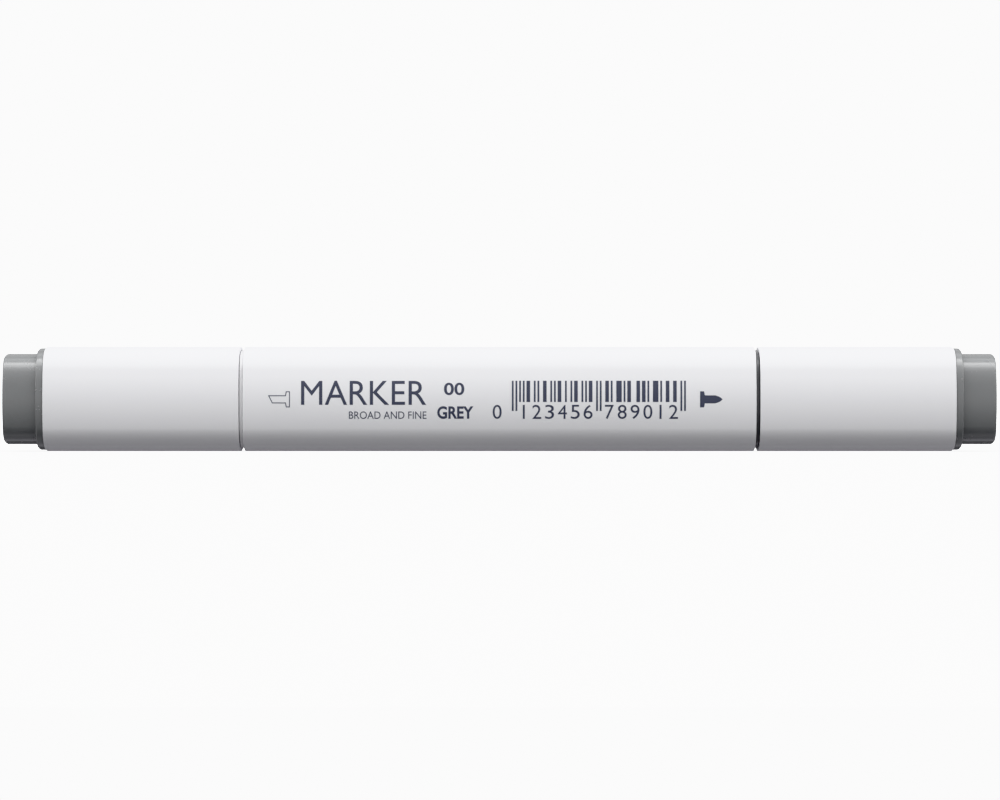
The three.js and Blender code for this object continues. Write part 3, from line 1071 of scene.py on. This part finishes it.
def fibres(name, dry, wet, start, full, strand_scale, relief):
    """Fibre material: ink comes in from start to full, by distance from the marker's middle."""
    material, tree, shader = new_material(name, Roughness=0.95, Specular_IOR_Level=0.1, Sheen_Weight=0.15)
    dark_dry = tuple(0.7 * part for part in dry)
    dark_wet = tuple(0.6 * part for part in wet)
    light = add_group(tree, wash, Dry=(*dry, 1), Wet=(*wet, 1), Start=start, Full=full)
    deep = add_group(tree, wash, Dry=(*dark_dry, 1), Wet=(*dark_wet, 1), Start=start, Full=full)
    strands = add_group(tree, fibre_strands, Strand_Scale=strand_scale, Relief=relief)
    tree.links.new(light.outputs["Color"], strands.inputs["Tone"])
    tree.links.new(deep.outputs["Color"], strands.inputs["Second Tone"])
    tree.links.new(strands.outputs["Color"], shader.inputs["Base Color"])
    tree.links.new(strands.outputs["Normal"], shader.inputs["Normal"])
    return material


def paint(piece, material):
    piece.data.materials.clear()
    piece.data.materials.append(material)


moulded = make_moulded_group()
fibre_strands = make_fibre_group()
wash = make_wash_group()

white = plastic("white_plastic", tone=(0.835, 0.837, 0.856), second_tone=(0.82, 0.822, 0.842),
                gloss=(0.46, 0.54), patch_scale=70, grain_scale=7000, grain=0.05)
grey = plastic("grey_plastic", tone=(0.2, 0.206, 0.21), second_tone=(0.19, 0.196, 0.2),
               gloss=(0.23, 0.28), patch_scale=90, grain_scale=2500, grain=0.012,
               IOR=1.65, Specular_IOR_Level=0.9)
dark = plastic("dark_plastic", tone=(0.125, 0.127, 0.133), second_tone=(0.115, 0.117, 0.123),
               gloss=(0.18, 0.24), patch_scale=120, grain_scale=3000, grain=0.02)
pale = plastic("pale_plastic", tone=(0.83, 0.83, 0.84), second_tone=(0.8, 0.8, 0.81),
               gloss=(0.25, 0.34), patch_scale=120, grain_scale=5000, grain=0.05)
milky = plastic("milky_plastic", tone=(0.83, 0.82, 0.78), second_tone=(0.78, 0.77, 0.73),
                gloss=(0.35, 0.5), patch_scale=150, grain_scale=4000, grain=0.08,
                Subsurface_Weight=0.3, Subsurface_Scale=0.001)
felt = fibres("stained_felt", dry=(0.42, 0.42, 0.43), wet=(0.17, 0.175, 0.195),
              start=52 * MM, full=58 * MM, strand_scale=5000, relief=0.6)
fibre = fibres("ink_fibre", dry=(0.34, 0.34, 0.36), wet=(0.2, 0.2, 0.225),
               start=0, full=36 * MM, strand_scale=3000, relief=0.8)
clear = plastic("clear_film", tone=(0.75, 0.77, 0.8), second_tone=(0.68, 0.7, 0.74),
                gloss=(0.08, 0.2), patch_scale=200, grain_scale=2500, grain=0.15,
                Transmission_Weight=0.7)
ink = plastic("printed_ink", tone=(0.086, 0.094, 0.136), second_tone=(0.078, 0.085, 0.122),
              gloss=(0.3, 0.42), patch_scale=500, grain_scale=9000, grain=0.06)


# ---- Camera, light and floor ----------------------------------------------------------

# White of the backdrop, and the floor's own share of it: studio light gives the floor the rest
BACKDROP = 2.2
FLOOR_GLOW = 0.9

# Brightness round the marker's length, by angle in degrees: 0 faces the printed side, 90 is
# straight up, 180 the back. The same light runs the marker's whole length.
STUDIO = (
    # Behind and below: dark, but for a low card behind
    (-180, 0.2), (-148, 0.1), (-132, 0.7), (-104, 0.3),
    # Table below, and the dark front of the room under the camera
    (-80, 0.45), (-64, 0.1), (-24, 0.05),
    # Weak fill from the camera's side
    (0, 0.7), (16, 0.4),
    # Panel in front, then the long soft box above it, brightest at its top
    (30, 1.6), (44, 1.2), (54, 3.1), (64, 2.7), (75, 5.2),
    # Ceiling and back
    (84, 1.3), (92, 0.8), (108, 1.7), (125, 0.6),
)

# Light that comes from below has bounced off the room and is a little violet
BOUNCE_TINT = (1, 0.985, 1.04)


# A long lens, far off, that sees the marker from in front, very slightly right and below
LENS = 142.74
SENSOR = 36
CAMERA_DISTANCE = 600 * MM
CAMERA_RIGHT = 0.076 * MM
CAMERA_DROP = 0.151 * MM

FLOOR_SIZE = 3


def make_camera():
    data = bpy.data.cameras.new("camera")
    camera = bpy.data.objects.new("camera", data)
    bpy.context.scene.collection.objects.link(camera)
    data.lens = LENS
    data.sensor_width = SENSOR
    camera.location = (CAMERA_RIGHT, -CAMERA_DISTANCE, AXIS_Z - CAMERA_DROP)
    camera.rotation_euler = (math.pi / 2, 0, 0)
    bpy.context.scene.camera = camera


def make_floor():
    deselect()
    bpy.ops.mesh.primitive_plane_add(size=FLOOR_SIZE)
    floor = name_piece("floor")
    material, _, _ = new_material("floor", Base_Color=(0.95, 0.95, 0.95, 1), Emission_Color=(1, 1, 1, 1),
                                  Emission_Strength=FLOOR_GLOW, Specular_IOR_Level=0)
    paint(floor, material)
    floor.visible_diffuse = False
    floor.visible_glossy = False
    floor.visible_shadow = False


def angle_round_marker(tree):
    """Angle of a direction round the marker's length, from 0 at -180 degrees to 1 at 180."""
    place = tree.nodes.new("ShaderNodeTexCoord")
    turned = tree.nodes.new("ShaderNodeMapping")
    split = tree.nodes.new("ShaderNodeSeparateXYZ")
    angle = tree.nodes.new("ShaderNodeMath")
    share = tree.nodes.new("ShaderNodeMapRange")
    turned.inputs["Scale"].default_value = (1, -1, 1)
    angle.operation = "ARCTAN2"
    share.inputs["From Min"].default_value = -math.pi
    share.inputs["From Max"].default_value = math.pi
    tree.links.new(place.outputs["Generated"], turned.inputs["Vector"])
    tree.links.new(turned.outputs["Vector"], split.inputs["Vector"])
    tree.links.new(split.outputs["Z"], angle.inputs[0])
    tree.links.new(split.outputs["Y"], angle.inputs[1])
    tree.links.new(angle.outputs["Value"], share.inputs["Value"])
    return share.outputs["Result"]


def studio_colour(tree, brightest):
    """The studio's levels as a colour ramp, in shares of the brightest."""
    ramp = tree.nodes.new("ShaderNodeValToRGB")
    stops = ramp.color_ramp.elements
    while len(stops) < len(STUDIO):
        stops.new(1)
    for stop, (degrees, level) in zip(stops, STUDIO):
        tint = BOUNCE_TINT if degrees < 0 else (1, 1, 1)
        stop.position = (degrees + 180) / 360
        stop.color = (*(level / brightest * part for part in tint), 1)
    tree.links.new(angle_round_marker(tree), ramp.inputs["Fac"])
    return ramp.outputs["Color"]


def make_light():
    """The studio lights the marker, and the camera sees a plain backdrop in its place."""
    world = bpy.data.worlds.new("studio")
    bpy.context.scene.world = world
    world.use_nodes = True
    tree = world.node_tree
    tree.nodes.clear()
    output = tree.nodes.new("ShaderNodeOutputWorld")
    mix = tree.nodes.new("ShaderNodeMixShader")
    path = tree.nodes.new("ShaderNodeLightPath")
    backdrop = tree.nodes.new("ShaderNodeBackground")
    studio = tree.nodes.new("ShaderNodeBackground")
    backdrop.inputs["Color"].default_value = (1, 1, 1, 1)
    backdrop.inputs["Strength"].default_value = BACKDROP
    brightest = max(level for _, level in STUDIO)
    studio.inputs["Strength"].default_value = brightest
    tree.links.new(studio_colour(tree, brightest), studio.inputs["Color"])
    tree.links.new(path.outputs["Is Camera Ray"], mix.inputs["Fac"])
    tree.links.new(studio.outputs["Background"], mix.inputs[1])
    tree.links.new(backdrop.outputs["Background"], mix.inputs[2])
    tree.links.new(mix.outputs["Shader"], output.inputs["Surface"])
    bpy.context.scene.view_settings.view_transform = "Khronos PBR Neutral"


# ---- Putting it together --------------------------------------------------------------

def place_piece(piece, body, node, material):
    paint(piece, material)
    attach(piece, body)
    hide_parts(node)


make_camera()
make_floor()
make_light()

place_piece(make_barrel(), "barrel", "barrel", white)
core, film = make_reservoir()
place_piece(core, "barrel", "reservoir_core", fibre)
place_piece(film, "barrel", "reservoir_film", clear)
place_piece(make_broad_nose(), "barrel", "broad_nose", pale)
place_piece(make_fine_nose(), "barrel", "fine_nose", dark)
place_piece(make_chisel_nib(), "barrel", "chisel_nib", felt)
place_piece(make_fine_nib(), "barrel", "fine_nib", felt)
for make, part, slot, material in (
    (make_cap_shell, "cap_shell", "white_plastic", white),
    (make_cap_liner, "cap_liner", "milky_plastic", milky),
    (make_cap_plug, "cap_plug", "grey_plastic", grey),
):
    fine = make()
    broad = turned_copy(fine, fine.name.replace("fine", "broad"))
    place_piece(fine, "fine_cap", f"fine_{part}", material)
    place_piece(broad, "broad_cap", f"broad_{part}", material)
for mark in make_print():
    paint(mark, ink)
    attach(mark, "barrel")
